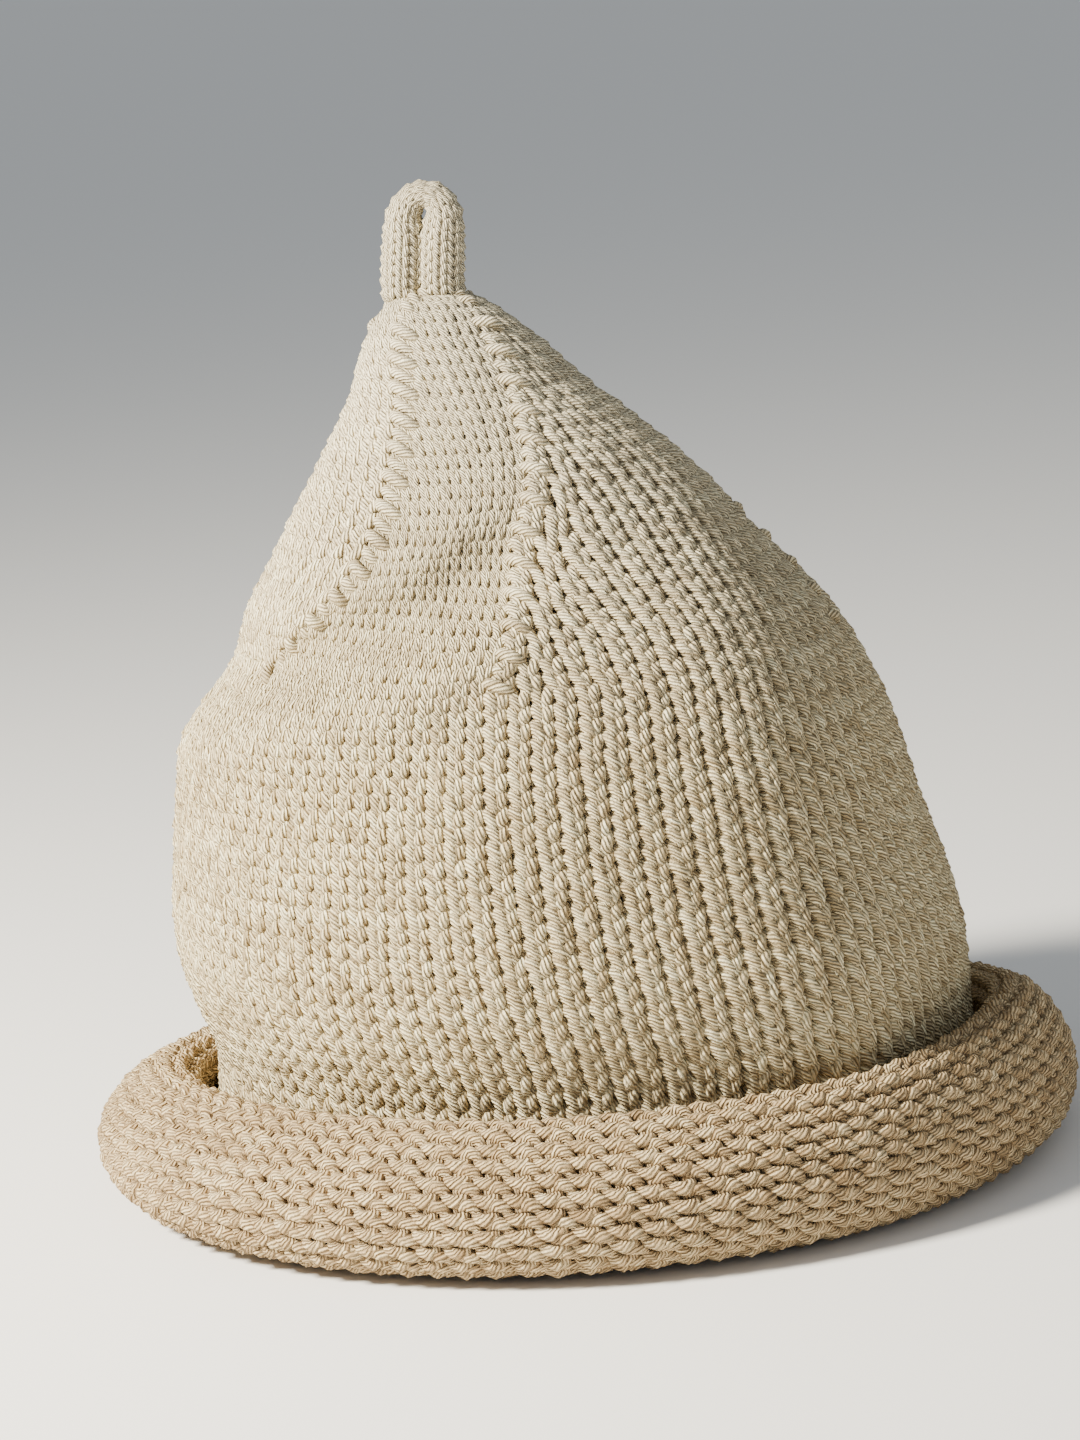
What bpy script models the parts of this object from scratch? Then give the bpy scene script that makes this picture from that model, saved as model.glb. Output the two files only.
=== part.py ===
# Hand-knitted pixie hat in thick plied yarn, standing on its rolled brim as it does on a table.
#
# The crown is a tall hollow body with a soft corner, a slanting crease and a tip that leans to one side.
# The brim is the bottom edge of the same fabric, rolled outward and up. A short knitted cord makes a loop
# on the tip. Metres, +Z up, +X to the right and -Y to the front. The origin is the middle of the brim's
# underside, on the surface that the hat stands on.

import bmesh
import bpy
import numpy as np

# Driving dimensions, in metres
BRIM_RADIUS = 0.1130
BRIM_HEIGHT = 0.0330
CROWN_RADIUS = 0.0886
CROWN_HEIGHT = 0.1660
FABRIC_THICKNESS = 0.0045
LOOP_HEIGHT = 0.0222
LOOP_CORD = 0.0098
LOOP_LEG_GAP = 0.0006
LOOP_LEAN = 0.0022
LOOP_OFFSET = 0.0008
SEAT_GAP = 0.0003

# Fineness of the faceted surfaces
SEGMENTS_ROUND = 56
CROWN_ROWS = 22
BRIM_STEPS_PER_SPAN = 2
LOOP_STATIONS = 25
LOOP_SIDES = 10
LOOP_SEARCH_FROM = 0.85
LOOP_SEARCH_STEPS = 61

# Crown sections, from the foot at the brim to the tip. along is the share of the wall's length, height the
# share of CROWN_HEIGHT, radius the share of CROWN_RADIUS on the outside, and lean the sideways shift of the
# section's middle as a share of CROWN_RADIUS.
CROWN_SECTIONS = {
    "along": (0.0, 0.10, 0.21, 0.34, 0.455, 0.583, 0.707, 0.80, 0.876, 0.935, 1.0),
    "height": (0.0, 0.125, 0.250, 0.398, 0.520, 0.642, 0.765, 0.855, 0.933, 0.985, 1.0),
    "radius": (0.990, 1.0, 0.960, 0.893, 0.780, 0.612, 0.450, 0.325, 0.240, 0.150, 0.0),
    "lean": (0.035, -0.014, -0.043, -0.052, -0.049, -0.077, -0.110, -0.155, -0.200, -0.225, -0.235),
}

# The soft corner down the crown, right of the front. along is the share of the wall's length, degrees the
# angle from the front towards the right, and rise its height as a share of CROWN_RADIUS.
CORNER = {
    "along": (0.0, 0.22, 0.38, 0.50, 0.62, 0.75, 1.0),
    "degrees": (34.0, 36.0, 37.0, 40.0, 55.0, 70.0, 80.0),
    "rise": (0.070, 0.065, 0.055, 0.045, 0.030, 0.0, 0.0),
}
CORNER_HALF_WIDTH_DEGREES = 17.0

# The crease that sets the leaning cone back from the body. degrees is the angle from the front, along the
# place of its bottom, and depth its depth as a share of CROWN_RADIUS.
CREASE = {
    "degrees": (-150.0, -110.0, -80.0, -50.0, -25.0, -5.0, 12.0, 40.0),
    "along": (0.42, 0.44, 0.455, 0.49, 0.54, 0.60, 0.63, 0.64),
    "depth": (0.0, 0.020, 0.045, 0.060, 0.060, 0.055, 0.020, 0.0),
}
CREASE_HALF_WIDTH = 0.045
SWELL_BELOW_CREASE = 0.10
SWELL_SHARE = 0.45

# Brim section from the foot of the crown down, out, up and over. out is the share of the brim's reach and
# up the share of its height, both for the middle of the fabric.
BRIM_SECTION = {
    "out": (0.0, 0.0, 0.036, 0.19, 0.43, 0.72, 0.93, 1.0, 0.93, 0.74, 0.505, 0.32, 0.29, 0.37),
    "up": (1.0, 0.642, 0.317, 0.076, 0.0, 0.0, 0.106, 0.317, 0.561, 0.792, 0.922, 0.850, 0.69, 0.561),
}
ROLL_STARTS_AT_ROW = 5
ROLL_BLEND_ROWS = 3.0
BRIM_OVAL = 0.008
BRIM_OVAL_DEGREES = 10.0

# Height of the roll round the hat, as a share of BRIM_HEIGHT. It lies lower behind the hat.
ROLL_HEIGHTS = {
    "degrees": (-180.0, -128.0, -106.0, -82.0, -45.0, 0.0, 45.0, 82.0, 106.0, 128.0, 180.0),
    "share": (0.62, 0.60, 0.68, 0.86, 0.98, 1.0, 1.02, 0.98, 0.76, 0.62, 0.62),
}

# Half of the loop's cord, from a foot to the top of the bend. across is the share of half the distance
# between the legs' middles, up the share of the bend's height, and thickness the share of LOOP_CORD.
LOOP_SECTIONS = {
    "from_foot": (0.0, 0.25, 0.48, 0.68, 0.85, 1.0),
    "across": (1.0, 1.0, 0.98, 0.88, 0.60, 0.0),
    "up": (0.0, 0.28, 0.54, 0.76, 0.93, 1.0),
    "thickness": (1.0, 1.0, 0.95, 0.80, 0.65, 0.60),
}
LOOP_DEPTH_SHARE = 0.92
LOOP_TURN_DEGREES = 16.0

# Colours and finish
YARN_BODY = (0.60, 0.48, 0.35, 1.0)
YARN_BRIM = (0.56, 0.43, 0.30, 1.0)
YARN_LOOP = (0.66, 0.57, 0.45, 1.0)
YARN_ROUGHNESS = 0.9


def column(table, name, key, at):
    """Value of a table's column, on a smooth curve through its rows, where the key column equals at."""
    keys = np.asarray(table[key], dtype=float)
    values = np.asarray(table[name], dtype=float)
    slopes = np.gradient(values, keys)
    at = np.clip(at, keys[0], keys[-1])
    row = np.clip(np.searchsorted(keys, at, side="right") - 1, 0, len(keys) - 2)
    span = keys[row + 1] - keys[row]
    t = (at - keys[row]) / span
    rise = values[row + 1] - values[row]
    bend = (1.0 - t) * (slopes[row] * span - rise) - t * (slopes[row + 1] * span - rise)
    return values[row] + t * rise + t * (1.0 - t) * bend


def turn_between(angle, other):
    """Signed turn from one angle to another, in degrees from -180 to 180."""
    return (angle - other + 180.0) % 360.0 - 180.0


def crown_relief(degrees, along):
    """Rise and fall of the crown's wall as a share of its radius: the corner, the crease and the swell."""
    corner_turn = turn_between(degrees, column(CORNER, "degrees", "along", along))
    corner = column(CORNER, "rise", "along", along) * np.exp(-(corner_turn / CORNER_HALF_WIDTH_DEGREES) ** 2)
    side = turn_between(degrees, 0.0)
    depth = column(CREASE, "depth", "degrees", side)
    below = along - column(CREASE, "along", "degrees", side)
    crease = depth * np.exp(-(below / CREASE_HALF_WIDTH) ** 2)
    swell = SWELL_SHARE * depth * np.exp(-((below + SWELL_BELOW_CREASE) / CREASE_HALF_WIDTH) ** 2)
    return corner - crease + swell


def crown_outside(degrees, along):
    """Point on the outside of the crown, by the angle from the front and the share of the wall's length."""
    radius = CROWN_RADIUS * column(CROWN_SECTIONS, "radius", "along", along)
    radius = radius * (1.0 + crown_relief(degrees, along))
    lean = CROWN_RADIUS * column(CROWN_SECTIONS, "lean", "along", along)
    height = BRIM_HEIGHT + SEAT_GAP + CROWN_HEIGHT * column(CROWN_SECTIONS, "height", "along", along)
    angle = np.radians(degrees)
    return np.stack([lean + radius * np.sin(angle), -radius * np.cos(angle), height + 0.0 * angle], axis=-1)


def brim_radius(degrees):
    """Outside radius of the brim, slightly oval so that both halves match."""
    return BRIM_RADIUS * (1.0 + BRIM_OVAL * np.cos(2.0 * np.radians(degrees - BRIM_OVAL_DEGREES)))


def brim_middle(degrees, step):
    """Point on the middle of the brim's fabric, step counting the rows of the section table."""
    half = 0.5 * FABRIC_THICKNESS
    table = dict(BRIM_SECTION, step=tuple(range(len(BRIM_SECTION["out"]))))
    out = column(table, "out", "step", step)
    up = column(table, "up", "step", step)
    foot = crown_outside(degrees, np.zeros_like(degrees))
    foot_radius = np.hypot(foot[..., 0], foot[..., 1])
    inward = (foot_radius - half) / foot_radius
    foot_x = foot[..., 0] * inward
    foot_y = foot[..., 1] * inward
    foot_distance = np.hypot(foot_x, foot_y)
    reach = brim_radius(degrees) - half - foot_distance
    share = column(ROLL_HEIGHTS, "share", "degrees", turn_between(degrees, 0.0))
    in_roll = np.clip((step - ROLL_STARTS_AT_ROW) / ROLL_BLEND_ROWS, 0.0, 1.0)
    grow = 1.0 + out * reach / foot_distance
    height = half + up * (BRIM_HEIGHT - half) * (1.0 + (share - 1.0) * in_roll)
    return np.stack([foot_x * grow, foot_y * grow, height], axis=-1)


def grid_normals(points):
    """Unit normals of a grid whose first axis runs along the wall and whose second closes round it."""
    along = np.gradient(points, axis=0)
    round_it = np.roll(points, -1, axis=1) - np.roll(points, 1, axis=1)
    normal = np.cross(round_it, along)
    return normal / np.linalg.norm(normal, axis=-1, keepdims=True)


def add_rings(mesh, grid):
    """Vertices of a grid, ring by ring."""
    return [[mesh.verts.new(point) for point in ring] for ring in grid]


def bridge(mesh, lower, upper):
    """Faces between two rings, facing out when upper lies further along an outside wall."""
    count = len(lower)
    for index in range(count):
        after = (index + 1) % count
        mesh.faces.new((lower[index], lower[after], upper[after], upper[index]))


def cap(mesh, ring, point):
    """Fan of faces from a ring to one closing point."""
    tip = mesh.verts.new(point)
    count = len(ring)
    for index in range(count):
        mesh.faces.new((ring[index], ring[(index + 1) % count], tip))


def yarn_material(name, colour):
    """Matt knitting yarn."""
    material = bpy.data.materials.new(name)
    material.use_nodes = True
    surface = material.node_tree.nodes["Principled BSDF"]
    surface.inputs["Base Color"].default_value = colour
    surface.inputs["Roughness"].default_value = YARN_ROUGHNESS
    surface.inputs["Metallic"].default_value = 0.0
    return material


def finish(mesh, name, material):
    """Turn a closed mesh into a smooth, outward-facing object of the scene."""
    bmesh.ops.recalc_face_normals(mesh, faces=mesh.faces[:])
    data = bpy.data.meshes.new(name)
    mesh.to_mesh(data)
    mesh.free()
    data.shade_smooth()
    data.materials.append(material)
    piece = bpy.data.objects.new(name, data)
    bpy.context.scene.collection.objects.link(piece)
    return piece


def round_angles(count):
    """Angles once round the hat, in degrees from the front."""
    return np.arange(count) * (360.0 / count)


def make_crown():
    """Hollow knitted crown: an outer and an inner wall that meet in a flat ring over the brim."""
    along = np.linspace(0.0, 1.0, CROWN_ROWS + 1)[:-1]
    degrees, share = np.meshgrid(round_angles(SEGMENTS_ROUND), along)
    outside = crown_outside(degrees, share)
    inside = outside - FABRIC_THICKNESS * grid_normals(outside)
    inside[0] = outside[0]
    inside[0, :, :2] *= 1.0 - FABRIC_THICKNESS / np.linalg.norm(outside[0, :, :2], axis=-1, keepdims=True)
    tip = crown_outside(np.zeros(1), np.ones(1))[0]
    mesh = bmesh.new()
    outer = add_rings(mesh, outside)
    inner = add_rings(mesh, inside)
    for row in range(CROWN_ROWS - 1):
        bridge(mesh, outer[row], outer[row + 1])
        bridge(mesh, inner[row + 1], inner[row])
    bridge(mesh, inner[0], outer[0])
    cap(mesh, outer[-1], tip)
    cap(mesh, inner[-1][::-1], tip - np.array((0.0, 0.0, FABRIC_THICKNESS)))
    return finish(mesh, "crown", yarn_material("crown_yarn", YARN_BODY))


def make_brim():
    """Rolled brim: the fabric's wall follows the section, with a flat edge at each end."""
    steps = np.arange((len(BRIM_SECTION["out"]) - 1) * BRIM_STEPS_PER_SPAN + 1) / BRIM_STEPS_PER_SPAN
    degrees, step = np.meshgrid(round_angles(SEGMENTS_ROUND), steps)
    middle = brim_middle(degrees, step)
    normal = grid_normals(middle)
    normal[0, :, 2] = 0.0
    normal[0] /= np.linalg.norm(normal[0], axis=-1, keepdims=True)
    purl_side = middle + 0.5 * FABRIC_THICKNESS * normal
    knit_side = middle - 0.5 * FABRIC_THICKNESS * normal
    for wall in (purl_side, knit_side):
        low = wall[..., 2] < 0.1 * FABRIC_THICKNESS
        wall[..., 2][low] = 0.0
    mesh = bmesh.new()
    outer = add_rings(mesh, purl_side)
    inner = add_rings(mesh, knit_side)
    for row in range(len(steps) - 1):
        bridge(mesh, outer[row], outer[row + 1])
        bridge(mesh, inner[row + 1], inner[row])
    bridge(mesh, inner[0], outer[0])
    bridge(mesh, outer[-1], inner[-1])
    return finish(mesh, "rolled_brim", yarn_material("brim_yarn", YARN_BRIM))


def tip_height(x, y):
    """Height of the crown's blunt top under a point near it."""
    along = np.linspace(1.0, LOOP_SEARCH_FROM, LOOP_SEARCH_STEPS)
    wall = crown_outside(np.zeros_like(along), along)
    lean = CROWN_RADIUS * column(CROWN_SECTIONS, "lean", "along", along)
    distance = -wall[:, 1]
    reached = np.interp(np.hypot(x - lean[0], y), distance, wall[:, 2])
    return reached


def loop_ring(station, sides):
    """Ring of points round the knitted cord, station running from -1 at one foot to 1 at the other."""
    step = 0.001
    middle = loop_middle(station)
    run = loop_middle(min(station + step, 1.0)) - loop_middle(max(station - step, -1.0))
    run /= np.linalg.norm(run)
    face = np.array((0.0, 1.0, 0.0))
    outward = np.cross(face, run)
    thick = 0.5 * LOOP_CORD * column(LOOP_SECTIONS, "thickness", "from_foot", 1.0 - abs(station))
    deep = 0.5 * LOOP_CORD * LOOP_DEPTH_SHARE
    turn = np.arange(sides) * (2.0 * np.pi / sides)
    ring = middle + np.outer(np.cos(turn) * thick, outward) + np.outer(np.sin(turn) * deep, face)
    swing = np.radians(LOOP_TURN_DEGREES)
    x = ring[:, 0] * np.cos(swing) + ring[:, 1] * np.sin(swing) - LOOP_OFFSET
    y = ring[:, 1] * np.cos(swing) - ring[:, 0] * np.sin(swing)
    tip = crown_outside(np.zeros(1), np.ones(1))[0]
    return np.stack([x + tip[0], y, ring[:, 2] + tip[2] + SEAT_GAP], axis=-1)


def loop_middle(station):
    """Middle of the knitted cord above the crown's tip, before the loop is turned on it."""
    from_foot = 1.0 - abs(station)
    half_span = 0.5 * (LOOP_CORD + LOOP_LEG_GAP)
    top = LOOP_HEIGHT - 0.5 * LOOP_CORD * LOOP_SECTIONS["thickness"][-1]
    up = top * column(LOOP_SECTIONS, "up", "from_foot", from_foot)
    across = np.sign(station) * half_span * column(LOOP_SECTIONS, "across", "from_foot", from_foot)
    return np.array((across + LOOP_LEAN * up / top, 0.0, up))


def make_top_loop():
    """Knitted cord bent into a loop: two legs side by side under a narrow bend, its feet on the tip."""
    stations = np.linspace(-1.0, 1.0, LOOP_STATIONS)
    rings = [loop_ring(station, LOOP_SIDES) for station in stations]
    for foot in (rings[0], rings[-1]):
        foot[:, 2] = tip_height(foot[:, 0], foot[:, 1]) + SEAT_GAP
    mesh = bmesh.new()
    placed = add_rings(mesh, rings)
    for index in range(LOOP_STATIONS - 1):
        bridge(mesh, placed[index], placed[index + 1])
    for ring, points in ((placed[0][::-1], rings[0]), (placed[-1], rings[-1])):
        cap(mesh, ring, points.mean(axis=0))
    return finish(mesh, "top_loop", yarn_material("loop_yarn", YARN_LOOP))


def main():
    for old in list(bpy.data.objects):
        bpy.data.objects.remove(old, do_unlink=True)
    make_crown()
    make_brim()
    make_top_loop()


main()
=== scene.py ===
import bpy
import math
import numpy as np
from mathutils import Matrix, Vector


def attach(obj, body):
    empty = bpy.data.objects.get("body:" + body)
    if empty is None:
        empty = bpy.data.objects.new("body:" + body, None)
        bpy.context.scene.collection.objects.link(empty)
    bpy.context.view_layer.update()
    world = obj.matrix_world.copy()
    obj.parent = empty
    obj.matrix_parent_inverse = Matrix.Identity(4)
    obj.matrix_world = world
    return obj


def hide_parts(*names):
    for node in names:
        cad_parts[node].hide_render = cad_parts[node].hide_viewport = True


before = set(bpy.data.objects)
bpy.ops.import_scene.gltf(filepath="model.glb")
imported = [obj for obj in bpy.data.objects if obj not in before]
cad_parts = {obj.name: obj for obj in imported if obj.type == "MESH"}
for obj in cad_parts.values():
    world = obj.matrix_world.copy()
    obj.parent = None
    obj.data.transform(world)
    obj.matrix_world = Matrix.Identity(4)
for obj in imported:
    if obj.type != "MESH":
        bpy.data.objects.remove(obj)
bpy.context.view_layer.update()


# The camera stands a little above the brim, in front of the hat and just under a metre away.
# It is rolled a few degrees, as the photograph is, so the hat leans to the left in the picture.
CAMERA_LOOKS_AT = Vector((-0.0036, 0.0, 0.0984))
CAMERA_DISTANCE = 0.95
CAMERA_ELEVATION = math.radians(10.6)
CAMERA_ROLL = math.radians(4.7)

camera_data = bpy.data.cameras.new("camera")
camera_data.sensor_width = 36.0
camera_data.lens = 104.8
camera = bpy.data.objects.new("camera", camera_data)
bpy.context.scene.collection.objects.link(camera)
looking = Vector((0.0, math.cos(CAMERA_ELEVATION), -math.sin(CAMERA_ELEVATION)))
level_right = Vector((1.0, 0.0, 0.0))
level_up = Vector((0.0, math.sin(CAMERA_ELEVATION), math.cos(CAMERA_ELEVATION)))
picture_right = level_right * math.cos(CAMERA_ROLL) - level_up * math.sin(CAMERA_ROLL)
picture_up = level_right * math.sin(CAMERA_ROLL) + level_up * math.cos(CAMERA_ROLL)
camera_turn = Matrix((picture_right, picture_up, -looking)).transposed()
camera.matrix_world = Matrix.Translation(CAMERA_LOOKS_AT - CAMERA_DISTANCE * looking) @ camera_turn.to_4x4()
bpy.context.scene.camera = camera


# The crown is stockinette, knitted in the round from a thick soft yarn of many fine strands, 105
# stitches round. Five spiral lines of decreases narrow it to the tip. Its fabric is one surface with
# the brim's, so the shape of both is worked out here: a table of points and of the side that faces out.
BRIM_RADIUS = 0.1130
BRIM_HEIGHT = 0.0330
CROWN_RADIUS = 0.0886
CROWN_HEIGHT = 0.1660
FABRIC_THICKNESS = 0.0045
SEAT_GAP = 0.0003
CROWN_SECTIONS = {
    "along": (0.0, 0.10, 0.21, 0.34, 0.455, 0.583, 0.707, 0.80, 0.876, 0.935, 1.0),
    "height": (0.0, 0.125, 0.250, 0.398, 0.520, 0.642, 0.765, 0.855, 0.933, 0.985, 1.0),
    "radius": (0.990, 1.0, 0.960, 0.893, 0.780, 0.612, 0.450, 0.325, 0.240, 0.150, 0.0),
    "lean": (0.035, -0.014, -0.043, -0.052, -0.049, -0.077, -0.110, -0.155, -0.200, -0.225, -0.235),
}
CORNER = {
    "along": (0.0, 0.22, 0.38, 0.50, 0.62, 0.75, 1.0),
    "degrees": (34.0, 36.0, 37.0, 40.0, 55.0, 70.0, 80.0),
    "rise": (0.070, 0.065, 0.055, 0.045, 0.030, 0.0, 0.0),
}
CORNER_HALF_WIDTH_DEGREES = 17.0
CREASE = {
    "degrees": (-150.0, -110.0, -80.0, -50.0, -25.0, -5.0, 12.0, 40.0),
    "along": (0.42, 0.44, 0.455, 0.49, 0.54, 0.60, 0.63, 0.64),
    "depth": (0.0, 0.024, 0.058, 0.100, 0.108, 0.092, 0.030, 0.0),
}
CREASE_HALF_WIDTH = 0.045
SWELL_BELOW_CREASE = 0.10
SWELL_SHARE = 0.45
BRIM_SECTION = {
    "step": tuple(range(14)),
    "out": (0.0, 0.0, 0.036, 0.19, 0.43, 0.72, 0.93, 1.0, 0.93, 0.74, 0.505, 0.32, 0.29, 0.37),
    "up": (1.0, 0.642, 0.317, 0.076, 0.0, 0.0, 0.106, 0.317, 0.561, 0.792, 0.922, 0.850, 0.69, 0.561),
}
ROLL_STARTS_AT_ROW = 5
ROLL_BLEND_ROWS = 3.0
BRIM_OVAL = 0.008
BRIM_OVAL_DEGREES = 10.0
ROLL_HEIGHTS = {
    "degrees": (-180.0, -128.0, -106.0, -82.0, -45.0, 0.0, 45.0, 82.0, 106.0, 128.0, 180.0),
    "share": (0.62, 0.60, 0.68, 0.86, 0.98, 1.0, 1.02, 0.98, 0.76, 0.62, 0.62),
}
CROWN_COURSES = 55
BRIM_COURSES = 27
SAMPLES_PER_COURSE = 5
DEGREES_PER_SAMPLE = 2.0
BRIM_FINE_STEPS = 261
COURSES_OPEN_AT_TIP = 0.3
TUCK_ABOVE_BRIM = 0.0016
TUCK_COURSE = -1.5
TUCK_HALF_COURSES = 3.0
TOP_DRAWN_IN = {
    "course": (0.0, 35.0, 40.0, 44.0, 47.0, 50.0, 52.5, 53.5, 55.0),
    "narrower": (0.0, 0.0, 0.0012, 0.0020, 0.0026, 0.0032, 0.0040, 0.0046, 0.0050),
}
LEAST_KEPT_SHARE = 0.15
LIFT_OFF_FLOOR = 0.0013
LIFT_WITHIN = 0.008


def read_table(table, name, key, at):
    """One column of a table, read smoothly between its rows."""
    keys = np.array(table[key], float)
    values = np.array(table[name], float)
    slopes = np.gradient(values, keys)
    at = np.clip(at, keys[0], keys[-1])
    row = np.clip(np.searchsorted(keys, at, side="right") - 1, 0, len(keys) - 2)
    span = keys[row + 1] - keys[row]
    t = (at - keys[row]) / span
    rise = values[row + 1] - values[row]
    bend = (1.0 - t) * (slopes[row] * span - rise) - t * (slopes[row + 1] * span - rise)
    return values[row] + t * rise + t * (1.0 - t) * bend


def turn_between(degrees, other):
    return (degrees - other + 180.0) % 360.0 - 180.0


def crown_outside(degrees, along):
    """The outer face of the crown, with its corner and its crease."""
    corner_turn = turn_between(degrees, read_table(CORNER, "degrees", "along", along))
    corner_fade = np.exp(-(corner_turn / CORNER_HALF_WIDTH_DEGREES) ** 2)
    corner = read_table(CORNER, "rise", "along", along) * corner_fade
    side = turn_between(degrees, 0.0)
    depth = read_table(CREASE, "depth", "degrees", side)
    below = along - read_table(CREASE, "along", "degrees", side)
    crease = depth * np.exp(-(below / CREASE_HALF_WIDTH) ** 2)
    swell = SWELL_SHARE * depth * np.exp(-((below + SWELL_BELOW_CREASE) / CREASE_HALF_WIDTH) ** 2)
    round_radius = CROWN_RADIUS * read_table(CROWN_SECTIONS, "radius", "along", along)
    radius = round_radius * (1.0 + corner - crease + swell)
    lean = CROWN_RADIUS * read_table(CROWN_SECTIONS, "lean", "along", along)
    height = BRIM_HEIGHT + SEAT_GAP + CROWN_HEIGHT * read_table(CROWN_SECTIONS, "height", "along", along)
    angle = np.radians(degrees)
    return np.stack((lean + radius * np.sin(angle), -radius * np.cos(angle), height), axis=-1)


def brim_middle(degrees, step):
    """The middle of the brim's fabric, from the crown's foot down, out and round the roll."""
    half = 0.5 * FABRIC_THICKNESS
    foot = crown_outside(degrees, np.zeros_like(degrees))
    foot_radius = np.hypot(foot[..., 0], foot[..., 1])
    inward = (foot_radius - half) / foot_radius
    foot_distance = foot_radius - half
    brim_radius = BRIM_RADIUS * (1.0 + BRIM_OVAL * np.cos(2.0 * np.radians(degrees - BRIM_OVAL_DEGREES)))
    reach = brim_radius - half - foot_distance
    share = read_table(ROLL_HEIGHTS, "share", "degrees", turn_between(degrees, 0.0))
    in_roll = np.clip((step - ROLL_STARTS_AT_ROW) / ROLL_BLEND_ROWS, 0.0, 1.0)
    grow = 1.0 + read_table(BRIM_SECTION, "out", "step", step) * reach / foot_distance
    up = read_table(BRIM_SECTION, "up", "step", step)
    height = half + up * (BRIM_HEIGHT - half) * (1.0 + (share - 1.0) * in_roll)
    return np.stack((foot[..., 0] * inward * grow, foot[..., 1] * inward * grow, height), axis=-1)


def facing_out(points):
    """The knit side of a grid of points whose first axis runs up the fabric and second one round it."""
    round_it = np.roll(points, -1, axis=1) - np.roll(points, 1, axis=1)
    up_it = np.gradient(points, axis=0)
    normal = np.cross(round_it, up_it)
    return normal / np.linalg.norm(normal, axis=-1, keepdims=True)


grid_degrees = np.arange(-180.0, 180.0, DEGREES_PER_SAMPLE)
last_crown_row = int((CROWN_COURSES - COURSES_OPEN_AT_TIP) * SAMPLES_PER_COURSE)
crown_rows = np.arange(0, last_crown_row + 1) / SAMPLES_PER_COURSE
degrees_2d, along_2d = np.meshgrid(grid_degrees, crown_rows / CROWN_COURSES)
crown_face = crown_outside(degrees_2d, along_2d)
crown_grid = crown_face - 0.5 * FABRIC_THICKNESS * facing_out(crown_face)
brim_steps = np.linspace(0.0, BRIM_SECTION["step"][-1], BRIM_FINE_STEPS)
degrees_2d, step_2d = np.meshgrid(grid_degrees, brim_steps)
brim_fine = brim_middle(degrees_2d, step_2d)
brim_way = np.zeros(brim_fine.shape[:2])
brim_way[1:] = np.cumsum(np.linalg.norm(np.diff(brim_fine, axis=0), axis=-1), axis=0)
brim_shares = np.arange(BRIM_COURSES * SAMPLES_PER_COURSE, 0, -1) / (BRIM_COURSES * SAMPLES_PER_COURSE)
brim_grid = np.zeros((len(brim_shares), len(grid_degrees), 3))
for spoke in range(len(grid_degrees)):
    for axis in range(3):
        brim_grid[:, spoke, axis] = np.interp(
            brim_shares * brim_way[-1, spoke], brim_way[:, spoke], brim_fine[:, spoke, axis])
fabric_grid = np.concatenate((brim_grid, crown_grid), axis=0)
grid_rows = np.arange(len(fabric_grid)) / SAMPLES_PER_COURSE - BRIM_COURSES
tucked = TUCK_ABOVE_BRIM * np.exp(-((grid_rows - TUCK_COURSE) / TUCK_HALF_COURSES) ** 2)
fabric_grid = fabric_grid - facing_out(fabric_grid) * tucked[:, None, None]
ring_middles = fabric_grid[:, :, :2].mean(axis=1, keepdims=True)
from_middle = fabric_grid[:, :, :2] - ring_middles
ring_reach = np.maximum(np.linalg.norm(from_middle, axis=-1, keepdims=True), 1e-6)
drawn_in = np.interp(grid_rows, TOP_DRAWN_IN["course"], TOP_DRAWN_IN["narrower"])[:, None, None]
kept_share = np.maximum(1.0 - drawn_in / ring_reach, LEAST_KEPT_SHARE)
fabric_grid[:, :, :2] = ring_middles + from_middle * kept_share
above_floor = fabric_grid[:, :, 2] - 0.5 * FABRIC_THICKNESS
fabric_grid[:, :, 2] += LIFT_OFF_FLOOR * np.exp(-((above_floor / LIFT_WITHIN) ** 2))
fabric_facing = facing_out(fabric_grid)


def on_fabric(degrees, course):
    """Where the middle of the fabric is, and the way its knit side faces, at angles and courses."""
    across = ((degrees + 180.0) % 360.0) / DEGREES_PER_SAMPLE
    up = np.clip((course + BRIM_COURSES) * SAMPLES_PER_COURSE, 0.0, len(fabric_grid) - 1.001)
    left = np.floor(across).astype(int) % len(grid_degrees)
    right = (left + 1) % len(grid_degrees)
    low = np.floor(up).astype(int)
    across_share = (across - np.floor(across))[..., None]
    up_share = (up - low)[..., None]
    found = []
    for grid in (fabric_grid, fabric_facing):
        lower = grid[low, left] * (1.0 - across_share) + grid[low, right] * across_share
        upper = grid[low + 1, left] * (1.0 - across_share) + grid[low + 1, right] * across_share
        found.append(lower * (1.0 - up_share) + upper * up_share)
    return found[0], found[1] / np.linalg.norm(found[1], axis=-1, keepdims=True)


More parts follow.
